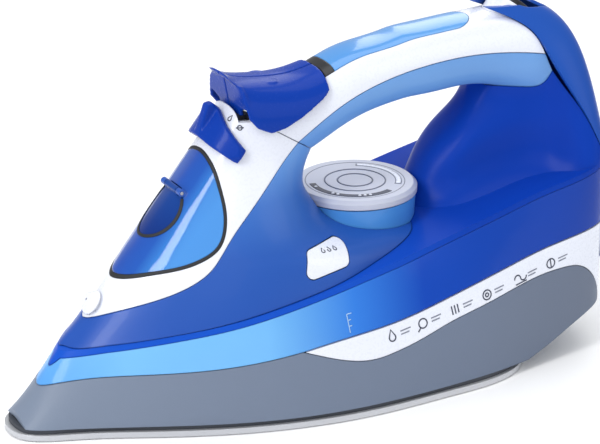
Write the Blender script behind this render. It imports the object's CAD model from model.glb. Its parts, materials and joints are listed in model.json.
import json
import math

import bpy
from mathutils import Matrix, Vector
from mathutils.bvhtree import BVHTree


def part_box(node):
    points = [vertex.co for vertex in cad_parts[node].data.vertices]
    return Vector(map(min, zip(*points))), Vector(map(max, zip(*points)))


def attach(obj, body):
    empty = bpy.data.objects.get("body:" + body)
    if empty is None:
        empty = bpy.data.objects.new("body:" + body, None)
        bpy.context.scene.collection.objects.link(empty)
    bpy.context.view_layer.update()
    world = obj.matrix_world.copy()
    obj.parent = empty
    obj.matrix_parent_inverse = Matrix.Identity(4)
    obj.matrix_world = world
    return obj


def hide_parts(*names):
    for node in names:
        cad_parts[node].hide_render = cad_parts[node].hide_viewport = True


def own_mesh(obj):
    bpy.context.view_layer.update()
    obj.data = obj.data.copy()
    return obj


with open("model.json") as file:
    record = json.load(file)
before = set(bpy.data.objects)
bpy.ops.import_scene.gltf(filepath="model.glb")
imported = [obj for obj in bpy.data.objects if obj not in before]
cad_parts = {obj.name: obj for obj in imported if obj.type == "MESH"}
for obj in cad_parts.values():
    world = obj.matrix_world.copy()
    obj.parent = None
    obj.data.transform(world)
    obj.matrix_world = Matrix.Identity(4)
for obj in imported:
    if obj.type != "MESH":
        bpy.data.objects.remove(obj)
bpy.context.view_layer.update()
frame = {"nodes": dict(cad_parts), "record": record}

nodes = frame["nodes"]
print("frame loaded", len(nodes))


ironLength = 272  # millimetres, with the frame's origin halfway along


def station(millimetres):
    # From millimetres behind the nose to the frame's x.
    return (millimetres - ironLength / 2) / 1000


def srgb(red, green, blue):
    shares = [level / 255 for level in (red, green, blue)]
    return [share / 12.92 if share <= 0.04 else ((share + 0.055) / 1.055) ** 2.4 for share in shares]


# Materials: a colour that runs along one axis of the iron, broken up by a cloud, with a grain of its own.
# The axis named side is the distance from the middle plane.

def addNode(tree, kind, **settings):
    node = tree.nodes.new(kind)
    for key, value in settings.items():
        setattr(node, key, value)
    return node


plainFinish = {
    "axis": "X", "span": (station(0), station(ironLength)), "cloud": 0.05, "cloudScale": 18, "cloudDetail": 3,
    "grainScale": 900, "grainDetail": 2, "grainDepth": 0.0004, "stretch": (1, 1, 1), "bump": 0.05,
    "rough": 0.35, "roughSpread": 0.05, "roughLeast": 0.02, "coat": 0, "coatRough": 0.06,
    "metal": 0, "shine": 0.5, "clear": 0, "index": 1.46, "edge": 0.0006, "edgeSamples": 4,
}


def makeMaterial(name, look):
    finish = {**plainFinish, **look}
    material = bpy.data.materials.new(name)
    material.use_nodes = True
    tree = material.node_tree
    link = tree.links.new
    shader = tree.nodes["Principled BSDF"]
    place = addNode(tree, "ShaderNodeTexCoord")
    split = addNode(tree, "ShaderNodeSeparateXYZ")
    link(place.outputs["Object"], split.inputs[0])
    span = addNode(tree, "ShaderNodeMapRange")
    span.inputs["From Min"].default_value, span.inputs["From Max"].default_value = finish["span"]
    if finish["axis"] == "side":
        away = addNode(tree, "ShaderNodeMath", operation="ABSOLUTE")
        link(split.outputs["Y"], away.inputs[0])
        link(away.outputs[0], span.inputs["Value"])
    else:
        link(split.outputs[finish["axis"]], span.inputs["Value"])
    ramp = addNode(tree, "ShaderNodeValToRGB")
    for share, colour in finish["stops"][1:-1]:
        ramp.color_ramp.elements.new(share)
    for element, (share, colour) in zip(ramp.color_ramp.elements, finish["stops"]):
        element.position = share
        element.color = (*srgb(*colour), 1)
    link(span.outputs["Result"], ramp.inputs["Fac"])
    cloud = addNode(tree, "ShaderNodeTexNoise")
    cloud.inputs["Scale"].default_value = finish["cloudScale"]
    cloud.inputs["Detail"].default_value = finish["cloudDetail"]
    link(place.outputs["Object"], cloud.inputs["Vector"])
    shade = addNode(tree, "ShaderNodeMapRange")
    shade.inputs["To Min"].default_value = 1 - finish["cloud"]
    shade.inputs["To Max"].default_value = 1 + finish["cloud"]
    link(cloud.outputs["Fac"], shade.inputs["Value"])
    tint = addNode(tree, "ShaderNodeVectorMath", operation="SCALE")
    link(ramp.outputs["Color"], tint.inputs[0])
    link(shade.outputs["Result"], tint.inputs["Scale"])
    link(tint.outputs["Vector"], shader.inputs["Base Color"])
    grain = addNode(tree, "ShaderNodeTexNoise")
    grain.inputs["Scale"].default_value = finish["grainScale"]
    grain.inputs["Detail"].default_value = finish["grainDetail"]
    stretch = addNode(tree, "ShaderNodeMapping")
    stretch.inputs["Scale"].default_value = finish["stretch"]
    link(place.outputs["Object"], stretch.inputs["Vector"])
    link(stretch.outputs["Vector"], grain.inputs["Vector"])
    rough = addNode(tree, "ShaderNodeMapRange")
    rough.inputs["To Min"].default_value = max(finish["roughLeast"], finish["rough"] - finish["roughSpread"])
    rough.inputs["To Max"].default_value = finish["rough"] + finish["roughSpread"]
    link(grain.outputs["Fac"], rough.inputs["Value"])
    link(rough.outputs["Result"], shader.inputs["Roughness"])
    edge = addNode(tree, "ShaderNodeBevel", samples=finish["edgeSamples"])
    edge.inputs["Radius"].default_value = finish["edge"]
    bump = addNode(tree, "ShaderNodeBump")
    link(edge.outputs["Normal"], bump.inputs["Normal"])
    bump.inputs["Strength"].default_value = finish["bump"]
    bump.inputs["Distance"].default_value = finish["grainDepth"]
    link(grain.outputs["Fac"], bump.inputs["Height"])
    link(bump.outputs["Normal"], shader.inputs["Normal"])
    shader.inputs["Metallic"].default_value = finish["metal"]
    shader.inputs["Specular IOR Level"].default_value = finish["shine"]
    shader.inputs["Coat Weight"].default_value = finish["coat"]
    shader.inputs["Coat Roughness"].default_value = finish["coatRough"]
    shader.inputs["Transmission Weight"].default_value = finish["clear"]
    shader.inputs["IOR"].default_value = finish["index"]
    return material


looks = {
    "whiteGloss": {
        "stops": [(0, (230, 233, 242)), (1, (227, 231, 242))],
        "rough": 0.28, "coat": 0.4, "cloud": 0.012, "bump": 0.02,
    },
    "soleSteel": {
        "stops": [(0, (196, 198, 202)), (1, (205, 206, 210))],
        "rough": 0.34, "metal": 0.6, "cloud": 0.05, "grainScale": 260, "stretch": (0.05, 1, 1),
        "bump": 0.12, "roughSpread": 0.1,
    },
    "greyPlastic": {
        "stops": [
            (0, (118, 130, 149)), (0.3, (112, 124, 144)), (0.7, (106, 118, 139)), (1, (98, 108, 127)),
        ],
        "rough": 0.42, "shine": 0.35, "cloud": 0.03, "bump": 0.08, "grainScale": 1500,
    },
    "tankBlue": {
        "stops": [
            (0, (70, 140, 214)), (0.16, (116, 180, 232)), (0.36, (112, 178, 232)), (0.5, (52, 122, 214)),
            (0.62, (14, 68, 174)), (1, (10, 56, 154)),
        ],
        "rough": 0.16, "coat": 0.12, "shine": 0.15, "cloud": 0.05, "bump": 0.01,
    },
    "finBlue": {
        "stops": [(0, (26, 82, 190)), (0.5, (22, 78, 188)), (0.72, (14, 60, 166)), (1, (12, 56, 160))],
        "rough": 0.3, "shine": 0.08, "cloud": 0.05, "bump": 0.02,
    },
    "satinBlue": {
        "stops": [
            (0, (26, 76, 166)), (0.28, (30, 82, 168)), (0.45, (56, 108, 188)), (0.6, (98, 150, 216)),
            (0.8, (108, 158, 216)), (1, (92, 142, 206)),
        ],
        "axis": "Z", "span": (0.04, 0.15), "rough": 0.36, "coat": 0.1, "shine": 0.35, "cloud": 0.04,
        "bump": 0.05,
    },
    "rearBlue": {
        "stops": [(0, (24, 72, 164)), (1, (30, 80, 170))],
        "axis": "Z", "span": (0.04, 0.16), "rough": 0.3, "shine": 0.2, "cloud": 0.04, "bump": 0.02,
    },
    "deepBlue": {
        "stops": [(0, (10, 50, 146)), (1, (12, 58, 160))],
        "axis": "Z", "span": (0.04, 0.16), "rough": 0.26, "coat": 0.08, "shine": 0.08, "cloud": 0.04,
        "bump": 0.02,
    },
    "paleBlue": {
        "stops": [(0, (70, 138, 208)), (0.6, (74, 144, 212)), (1, (92, 160, 222))],
        "rough": 0.16, "coat": 0.4, "cloud": 0.04, "bump": 0.01,
    },
    "windowBlue": {
        "stops": [(0, (24, 76, 172)), (0.45, (28, 86, 180)), (0.8, (58, 134, 212)), (1, (64, 142, 218))],
        "axis": "side", "span": (0, 0.02), "rough": 0.05, "coat": 0.6, "shine": 0.1, "clear": 0.1,
        "cloud": 0.06, "bump": 0.01,
    },
    "flapBlue": {
        "stops": [(0, (12, 44, 120)), (1, (22, 70, 150))],
        "axis": "Z", "span": (0.075, 0.096), "rough": 0.08, "coat": 0.15, "shine": 0.1, "clear": 0.1,
        "cloud": 0.06, "bump": 0.01,
    },
    "dialGrey": {
        "stops": [(0, (192, 196, 210)), (1, (186, 190, 206))],
        "rough": 0.34, "coat": 0.2, "cloud": 0.02, "bump": 0.03,
    },
    "ringBlue": {
        "stops": [(0, (78, 148, 216)), (1, (74, 142, 212))],
        "rough": 0.3, "coat": 0.15, "shine": 0.35, "cloud": 0.04, "bump": 0.02,
    },
    "blackRubber": {
        "stops": [(0, (30, 32, 36)), (1, (36, 38, 42))],
        "rough": 0.6, "cloud": 0.12, "bump": 0.15,
    },
    "sealGrey": {
        "stops": [(0, (58, 62, 70)), (1, (66, 70, 78))],
        "rough": 0.55, "cloud": 0.1, "bump": 0.1,
    },
    "blackPlastic": {
        "stops": [(0, (18, 19, 23)), (1, (24, 25, 29))],
        "rough": 0.3, "cloud": 0.1, "bump": 0.05,
    },
    "steel": {
        "stops": [(0, (172, 174, 178)), (1, (180, 182, 186))],
        "rough": 0.3, "metal": 1.0, "cloud": 0.06, "grainScale": 500, "stretch": (0.1, 1, 1), "bump": 0.1,
    },
    "brass": {
        "stops": [(0, (196, 160, 88)), (1, (204, 168, 96))],
        "rough": 0.3, "metal": 1.0, "cloud": 0.06,
    },
    "castAluminium": {
        "stops": [(0, (170, 172, 174)), (1, (178, 180, 182))],
        "rough": 0.5, "metal": 0.9, "cloud": 0.08, "grainScale": 700, "bump": 0.3,
    },
    "innerPlastic": {
        "stops": [(0, (205, 206, 204)), (1, (212, 213, 210))],
        "rough": 0.45, "cloud": 0.04, "bump": 0.08,
    },
    "lampAmber": {
        "stops": [(0, (222, 130, 50)), (1, (230, 140, 60))],
        "rough": 0.15, "coat": 0.8, "clear": 0.3,
    },
    "printGrey": {
        "stops": [(0, (126, 131, 146)), (1, (134, 139, 154))],
        "rough": 0.5, "cloud": 0.05,
    },
    "printDark": {
        "stops": [(0, (58, 63, 80)), (1, (66, 71, 90))],
        "rough": 0.45, "cloud": 0.08,
    },
    "printPale": {
        "stops": [(0, (168, 204, 240)), (1, (176, 210, 242))],
        "rough": 0.4, "cloud": 0.04,
    },
}
materials = {name: makeMaterial(name, look) for name, look in looks.items()}
print("materials", len(materials))

slotLooks = {
    "sole": "soleSteel", "grey_plastic": "greyPlastic", "white_gloss": "whiteGloss", "tank_blue": "tankBlue",
    "satin_blue": "satinBlue", "deep_blue": "deepBlue", "pale_blue": "paleBlue", "window_blue": "windowBlue",
    "black_rubber": "blackRubber", "black_plastic": "blackPlastic", "steel": "steel", "brass": "brass",
    "cast_aluminium": "castAluminium", "inner_plastic": "innerPlastic", "lamp": "lampAmber",
}
nodeLooks = {
    "filler_flap": "flapBlue", "tank_cover": "finBlue", "heat_seal": "sealGrey", "temperature_dial": "dialGrey",
    "dial_ring": "ringBlue", "rear_cover": "rearBlue",
}
for sub in frame["record"]["subparts"]:
    shown = nodes[sub["node"]]
    shown.data.materials.clear()
    shown.data.materials.append(materials[nodeLooks.get(sub["node"], slotLooks[sub["material_slot"]])])
print("CAD nodes dressed")


# Moulded edges of the thumb controls: the solids are remeshed finely and relaxed, which rounds their corners.

softEdges = {
    "voxel": 0.00045, "factor": 0.5,
    "passes": {"steam_lever": 16, "spray_button": 6, "steam_button": 6},
}
for name, passes in softEdges["passes"].items():
    moulded = nodes[name].modifiers.new("moulded", "REMESH")
    moulded.mode = "VOXEL"
    moulded.voxel_size = softEdges["voxel"]
    moulded.use_smooth_shade = True
    relaxed = nodes[name].modifiers.new("relaxed", "SMOOTH")
    relaxed.factor = softEdges["factor"]
    relaxed.iterations = passes
print("edges rounded")


# Small pieces: meshes of their own, each riding on a body of the frame.

def meshPiece(name, points, faces, look, body, slot):
    mesh = bpy.data.meshes.new(name)
    mesh.from_pydata(points, [], faces)
    mesh.validate()
    piece = bpy.data.objects.new(name, mesh)
    bpy.context.scene.collection.objects.link(piece)
    mesh.materials.append(materials[look])
    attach(piece, body)
    return piece


# Coil springs, in place of the plain sleeves of the CAD.

coilSteps = 20
wireSides = 8


def coilSpring(name, spec):
    low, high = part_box(spec["sleeve"])
    centre = (low + high) / 2
    wire = spec["wire"]
    radius = (high.x - low.x) / 2 - wire
    steps = spec["turns"] * coilSteps
    points = []
    faces = []
    for step in range(steps + 1):
        angle = math.tau * step / coilSteps
        outward = Vector((math.cos(angle), math.sin(angle), 0))
        height = low.z + wire + (high.z - low.z - 2 * wire) * step / steps
        middle = Vector((centre.x, centre.y, height)) + outward * radius
        for side in range(wireSides):
            swing = math.tau * side / wireSides
            points.append(middle + outward * wire * math.cos(swing) + Vector((0, 0, wire * math.sin(swing))))
    for step in range(steps):
        for side in range(wireSides):
            here = step * wireSides + side
            beside = step * wireSides + (side + 1) % wireSides
            faces.append((here, beside, beside + wireSides, here + wireSides))
    faces.append(tuple(reversed(range(wireSides))))
    faces.append(tuple(steps * wireSides + side for side in range(wireSides)))
    coil = meshPiece(name, points, faces, "steel", "base", "steel")
    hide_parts(spec["sleeve"])
    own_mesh(coil)


springs = {
    "spray_coil": {"sleeve": "spray_spring", "joint": "spray_press", "wire": 0.0004, "turns": 4, "keep": 0.56},
    "steam_coil": {"sleeve": "steam_spring", "joint": "steam_press", "wire": 0.0004, "turns": 4, "keep": 0.56},
    "valve_coil": {"sleeve": "valve_spring", "joint": "lever_turn", "wire": 0.0004, "turns": 5, "keep": 0.8},
}
for name, spec in springs.items():
    coilSpring(name, spec)
print("springs wound")

# The dial's printed scale: flat arcs with rounded shoulders, and dots for the three heats.

dial = {"centre": (station(163), 0.0), "top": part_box("temperature_dial")[1].z, "sunk": 0.0002, "steps": 72}
shoulder = {"share": 0.35, "most": 0.0003, "drop": 0.6}


def arcBand(name, spec):
    inner, outer = spec["radii"]
    start, end = spec["arc"]
    bottom = dial["top"] - dial["sunk"]
    top = dial["top"] + spec["lift"]
    steps = dial["steps"]
    closed = abs(end - start) >= 360
    count = steps if closed else steps + 1
    edge = min(shoulder["share"] * (outer - inner), shoulder["most"])
    low = top - edge * shoulder["drop"]
    rows = [
        (inner, bottom), (inner, low), (inner + edge, top), (outer - edge, top), (outer, low), (outer, bottom),
    ]
    wide = len(rows)
    points = []
    faces = []
    for step in range(count):
        angle = math.radians(start + (end - start) * step / steps)
        for radius, height in rows:
            x = dial["centre"][0] + radius * math.cos(angle)
            y = dial["centre"][1] + radius * math.sin(angle)
            points.append((x, y, height))
    for step in range(steps):
        here = step * wide
        after = ((step + 1) % count) * wide
        for row in range(wide - 1):
            faces.append((here + row, after + row, after + row + 1, here + row + 1))
        faces.append((here + wide - 1, after + wide - 1, after, here))
    if not closed:
        faces.append(tuple(range(wide)))
        faces.append(tuple(reversed(range(steps * wide, steps * wide + wide))))
    meshPiece(name, points, faces, spec["look"], "dial", spec["slot"])


dialBands = {
    "dial_outer_line": {"radii": (0.0213, 0.0216), "arc": (0, 360), "lift": 0.00012, "look": "printGrey",
                        "slot": "grey_plastic"},
    "dial_scale_dark": {"radii": (0.0172, 0.0203), "arc": (165, 292), "lift": 0.00014, "look": "printDark",
                        "slot": "black_plastic"},
    "dial_scale_light": {"radii": (0.0172, 0.0203), "arc": (-42, 60), "lift": 0.00012, "look": "printGrey",
                         "slot": "grey_plastic"},
    "dial_scale_face": {"radii": (0.0176, 0.0199), "arc": (-40, 58), "lift": 0.0002, "look": "whiteGloss",
                        "slot": "white_gloss"},
    "dial_ring_middle": {"radii": (0.0128, 0.0134), "arc": (0, 360), "lift": 0.0003, "look": "printGrey",
                         "slot": "grey_plastic"},
    "dial_ring_inner": {"radii": (0.0072, 0.0079), "arc": (0, 360), "lift": 0.0003, "look": "printGrey",
                        "slot": "grey_plastic"},
}
for name, spec in dialBands.items():
    arcBand(name, spec)

dots = {
    "angles": (178, 211, 218, 247, 254, 261), "ring": 0.01875, "radius": 0.0007, "lift": 0.0003, "sides": 12,
}


def dialDots():
    points = []
    faces = []
    sides = dots["sides"]
    for place in dots["angles"]:
        first = len(points)
        x = dial["centre"][0] + dots["ring"] * math.cos(math.radians(place))
        y = dots["ring"] * math.sin(math.radians(place))
        for height in (dial["top"], dial["top"] + dots["lift"]):
            for side in range(sides):
                angle = math.tau * side / sides
                across = dots["radius"] * math.cos(angle)
                along = dots["radius"] * math.sin(angle)
                points.append((x + across, y + along, height))
        for side in range(sides):
            after = (side + 1) % sides
            faces.append((first + side, first + after, first + sides + after, first + sides + side))
        faces.append(tuple(first + sides + side for side in range(sides)))
        faces.append(tuple(first + side for side in reversed(range(sides))))
    meshPiece("dial_dots", points, faces, "whiteGloss", "dial", "white_gloss")


dialDots()
print("dial marked")


# Printed marks: lines laid on a surface. Each one is drawn flat, then dropped on to the CAD pieces below it.

clearOf = 0.03
sunkBy = 0.0001


def surfaceOf(*names):
    points = []
    faces = []
    for name in names:
        first = len(points)
        node = nodes[name]
        points += [node.matrix_world @ corner.co for corner in node.data.vertices]
        faces += [[first + index for index in face.vertices] for face in node.data.polygons]
    return BVHTree.FromPolygons(points, faces)


def layer(tree, origin, normal, across):
    # Returns a function that drops a point of the flat drawing, in millimetres, on to the surface.
    out = Vector(normal).normalized()
    right = (Vector(across) - out * out.dot(Vector(across))).normalized()
    upward = out.cross(right)
    start = Vector(origin) + out * clearOf

    def drop(point, lift):
        spot = start + right * (point[0] / 1000) + upward * (point[1] / 1000)
        place, facing = tree.ray_cast(spot, -out)[:2]
        if place is None:
            place, facing = tree.find_nearest(spot - out * clearOf)[:2]
        if facing.dot(out) < 0:
            facing = -facing
        return place + facing * lift

    return drop


def printed(name, strokes, width, drop, look, body, slot, lift=0.00012):
    points = []
    faces = []
    for path, closed in strokes:
        count = len(path)
        first = len(points)
        for index, point in enumerate(path):
            before = path[index - 1] if index or closed else point
            after = path[(index + 1) % count] if index < count - 1 or closed else point
            run = (after[0] - before[0], after[1] - before[1])
            length = math.hypot(*run)
            aside = (-run[1] / length * width / 2, run[0] / length * width / 2)
            left = (point[0] + aside[0], point[1] + aside[1])
            right = (point[0] - aside[0], point[1] - aside[1])
            points += [drop(left, -sunkBy), drop(left, lift), drop(right, lift), drop(right, -sunkBy)]
        for index in range(count if closed else count - 1):
            here = first + 4 * index
            after = first + 4 * ((index + 1) % count)
            for side in range(4):
                beside = (side + 1) % 4
                faces.append((here + side, here + beside, after + beside, after + side))
        if not closed:
            faces.append((first + 3, first + 2, first + 1, first))
            faces.append(tuple(first + 4 * (count - 1) + side for side in range(4)))
    return meshPiece(name, points, faces, look, body, slot)


def roundPath(x, y, radius, start=0, end=360):
    steps = max(8, int(abs(end - start) / 12))
    angles = [math.radians(start + (end - start) * step / steps) for step in range(steps + 1)]
    path = [(x + radius * math.cos(angle), y + radius * math.sin(angle)) for angle in angles]
    return (path[:-1], True) if abs(end - start) >= 360 else (path, False)


def dropPath(x, y, radius):
    # A water drop: a round belly with its tip above.
    path = roundPath(x, y, radius, 150, 390)[0]
    return ([*path, (x, y + 2.3 * radius)], True)


def linePath(*points):
    return (list(points), False)


def shifted(strokes, x):
    return [([(across + x, up) for across, up in path], closed) for path, closed in strokes]


# Side band: six plain marks, each at its own distance behind the nose, with two short lines beside it.

sideBand = {
    "start": 151.5, "side": -0.08, "height": 0.0322, "facing": (0, -1, 0), "across": (1, 0, 0.176),
    "width": 0.55, "captionWidth": 0.5,
    "caption": [linePath((4.2, 0.7), (9.2, 0.7)), linePath((4.2, -0.7), (8.2, -0.7))],
    "marks": {
        151.5: [dropPath(0, -0.6, 1.5)],
        166.7: [roundPath(0, 0, 2.0), linePath((-3, -2.8), (-1.4, -1.4))],
        183.0: [linePath((x, -1.9), (x, 1.9)) for x in (-1.5, 0, 1.5)],
        199.7: [roundPath(0, 0, 2.1), roundPath(0, 0, 0.8)],
        218.2: [roundPath(-1.6, 0.3, 1.6, 0, 180), roundPath(1.6, 0.3, 1.6, 180, 360),
                linePath((-3, -2), (3, -2))],
        235.1: [roundPath(0, 0, 2.1), linePath((0, -2.1), (0, 2.1))],
    },
}
bandSpot = (station(sideBand["start"]), sideBand["side"], sideBand["height"])
bandDrop = layer(surfaceOf("side_trim"), bandSpot, sideBand["facing"], sideBand["across"])
bandStrokes = []
captionStrokes = []
for place, strokes in sideBand["marks"].items():
    bandStrokes += shifted(strokes, place - sideBand["start"])
    captionStrokes += shifted(sideBand["caption"], place - sideBand["start"])
printed("side_marks", bandStrokes, sideBand["width"], bandDrop, "printDark", "base", "black_plastic")
printed("side_captions", captionStrokes, sideBand["captionWidth"], bandDrop, "printGrey", "base",
        "grey_plastic")

# Fascia beside the steam lever: steam on and steam off.

leverMarks = {
    "spot": (station(101.4), -0.0102, 0.1213), "facing": (-0.7, -0.46, 0.49), "across": (0.32, -0.83, -0.46),
    "width": 0.45,
    "strokes": [dropPath(-3.2, -0.6, 0.8), roundPath(2.8, -0.4, 0.9), linePath((1.7, -1.5), (3.9, 0.7))],
}
leverDrop = layer(surfaceOf("fascia"), leverMarks["spot"], leverMarks["facing"], leverMarks["across"])
printed("lever_marks", leverMarks["strokes"], leverMarks["width"], leverDrop, "printDark", "base",
        "black_plastic")

# Tank: a level scale with three ticks.

tankMark = {
    "spot": (station(132.5), -0.05, 0.0408), "facing": (-0.1, -0.96, 0.25), "across": (1, 0, 0.1), "width": 0.4,
    "strokes": [linePath((0, -4), (0, 4)), linePath((0, 4), (2.2, 4)), linePath((0, 1.4), (1.4, 1.4)),
                linePath((0, -1.2), (1.4, -1.2))],
}
tankDrop = layer(surfaceOf("water_tank"), tankMark["spot"], tankMark["facing"], tankMark["across"])
printed("tank_level_mark", tankMark["strokes"], tankMark["width"], tankDrop, "printPale", "base", "pale_blue")

# Clean button: three drops.

cleanMark = {
    "spot": (station(130.4), -0.0368, 0.0703), "facing": (0.1, -0.68, 0.72), "across": (1, 0, 0.1),
    "width": 0.4,
    "strokes": [dropPath(x, -0.5, 0.75) for x in (-3, 0, 3)],
}
cleanDrop = layer(surfaceOf("clean_button"), cleanMark["spot"], cleanMark["facing"], cleanMark["across"])
printed("clean_mark", cleanMark["strokes"], cleanMark["width"], cleanDrop, "printDark", "clean_key",
        "black_plastic")

# Flap: a rubber seal round its oval, open at the hinge.

flapSeal = {
    "spot": (station(71.2), 0, 0.0856), "slope": math.radians(51), "across": 11.2, "along": 13.2, "trim": 8.6,
    "width": 1.3, "lift": 0.0003, "steps": 40,
}
flapFacing = (-math.sin(flapSeal["slope"]), 0, math.cos(flapSeal["slope"]))
flapDrop = layer(surfaceOf("front_window", "filler_flap"), flapSeal["spot"], flapFacing, (0, -1, 0))
turn = math.degrees(math.asin(flapSeal["trim"] / flapSeal["along"]))
sealPath = []
for step in range(flapSeal["steps"] + 1):
    angle = math.radians(180 - turn + (180 + 2 * turn) * step / flapSeal["steps"])
    sealPath.append((flapSeal["across"] * math.cos(angle), flapSeal["along"] * math.sin(angle)))
printed("flap_seal", [(sealPath, False)], flapSeal["width"], flapDrop, "blackRubber", "flap", "black_rubber",
        flapSeal["lift"])
print("marks printed")

# Camera, light and floor

view = {
    "target": Vector((0.0111746, 0.0206472, 0.0581064)), "distance": 0.965598,
    "turn": math.radians(28), "rise": math.radians(22), "lens": 132, "sensor": 36, "nearest": 0.05,
}
reach = view["distance"] * math.cos(view["rise"])  # along the floor
height = view["distance"] * math.sin(view["rise"])
offset = Vector((-reach * math.sin(view["turn"]), -reach * math.cos(view["turn"]), height))
camera = bpy.data.objects.new("camera", bpy.data.cameras.new("camera"))
bpy.context.scene.collection.objects.link(camera)
camera.location = view["target"] + offset
camera.rotation_euler = (view["target"] - camera.location).to_track_quat("-Z", "Y").to_euler()
camera.data.lens = view["lens"]
camera.data.sensor_width = view["sensor"]
camera.data.clip_start = view["nearest"]
bpy.context.scene.camera = camera


def softLight(name, spec):
    lamp = bpy.data.lights.new(name, "AREA")
    lamp.shape = "RECTANGLE"
    lamp.size, lamp.size_y = spec["size"]
    lamp.energy = spec["power"]
    holder = bpy.data.objects.new(name, lamp)
    bpy.context.scene.collection.objects.link(holder)
    holder.location = spec["spot"]
    holder.rotation_euler = (Vector(spec["aim"]) - Vector(spec["spot"])).to_track_quat("-Z", "Y").to_euler()


# The strip makes the white streak on the window.

lights = {
    "key": {"spot": (-0.95, -1.0, 1.2), "aim": (0, 0, 0.06), "size": (1.9, 1.4), "power": 6.4},
    "top": {"spot": (0.15, 0.2, 1.5), "aim": (0, 0, 0.06), "size": (1.4, 1.0), "power": 8},
    "fill": {"spot": (0.9, -1.1, 0.7), "aim": (0, 0, 0.06), "size": (0.9, 0.9), "power": 3},
    "rim": {"spot": (0.8, 0.9, 0.9), "aim": (0, 0, 0.08), "size": (0.8, 0.8), "power": 4},
    "strip": {"spot": (-1.0, -0.3, 0.85), "aim": (station(65), -0.012, 0.08), "size": (0.26, 0.9), "power": 7},
}
for name, spec in lights.items():
    softLight(name, spec)

sky = {"colour": (0.95, 0.97, 1.0, 1), "strength": 0.56}
world = bpy.data.worlds.new("world")
bpy.context.scene.world = world
world.use_nodes = True
world.node_tree.nodes["Background"].inputs["Color"].default_value = sky["colour"]
world.node_tree.nodes["Background"].inputs["Strength"].default_value = sky["strength"]

floorSize = {"half": 6, "height": -0.0004}
floorLook = {
    "stops": [(0, (253, 253, 254)), (1, (254, 254, 254))],
    "rough": 0.7, "cloud": 0.01, "cloudScale": 3, "bump": 0.02,
}
floorMesh = bpy.data.meshes.new("floor")
floorCorners = [(x * floorSize["half"], y * floorSize["half"], floorSize["height"])
                for x, y in ((-1, -1), (1, -1), (1, 1), (-1, 1))]
floorMesh.from_pydata(floorCorners, [], [(0, 1, 2, 3)])
floor = bpy.data.objects.new("floor", floorMesh)
bpy.context.scene.collection.objects.link(floor)
floorMesh.materials.append(makeMaterial("floorPale", floorLook))
bpy.context.scene.view_settings.view_transform = "Standard"
print("camera, light and floor")
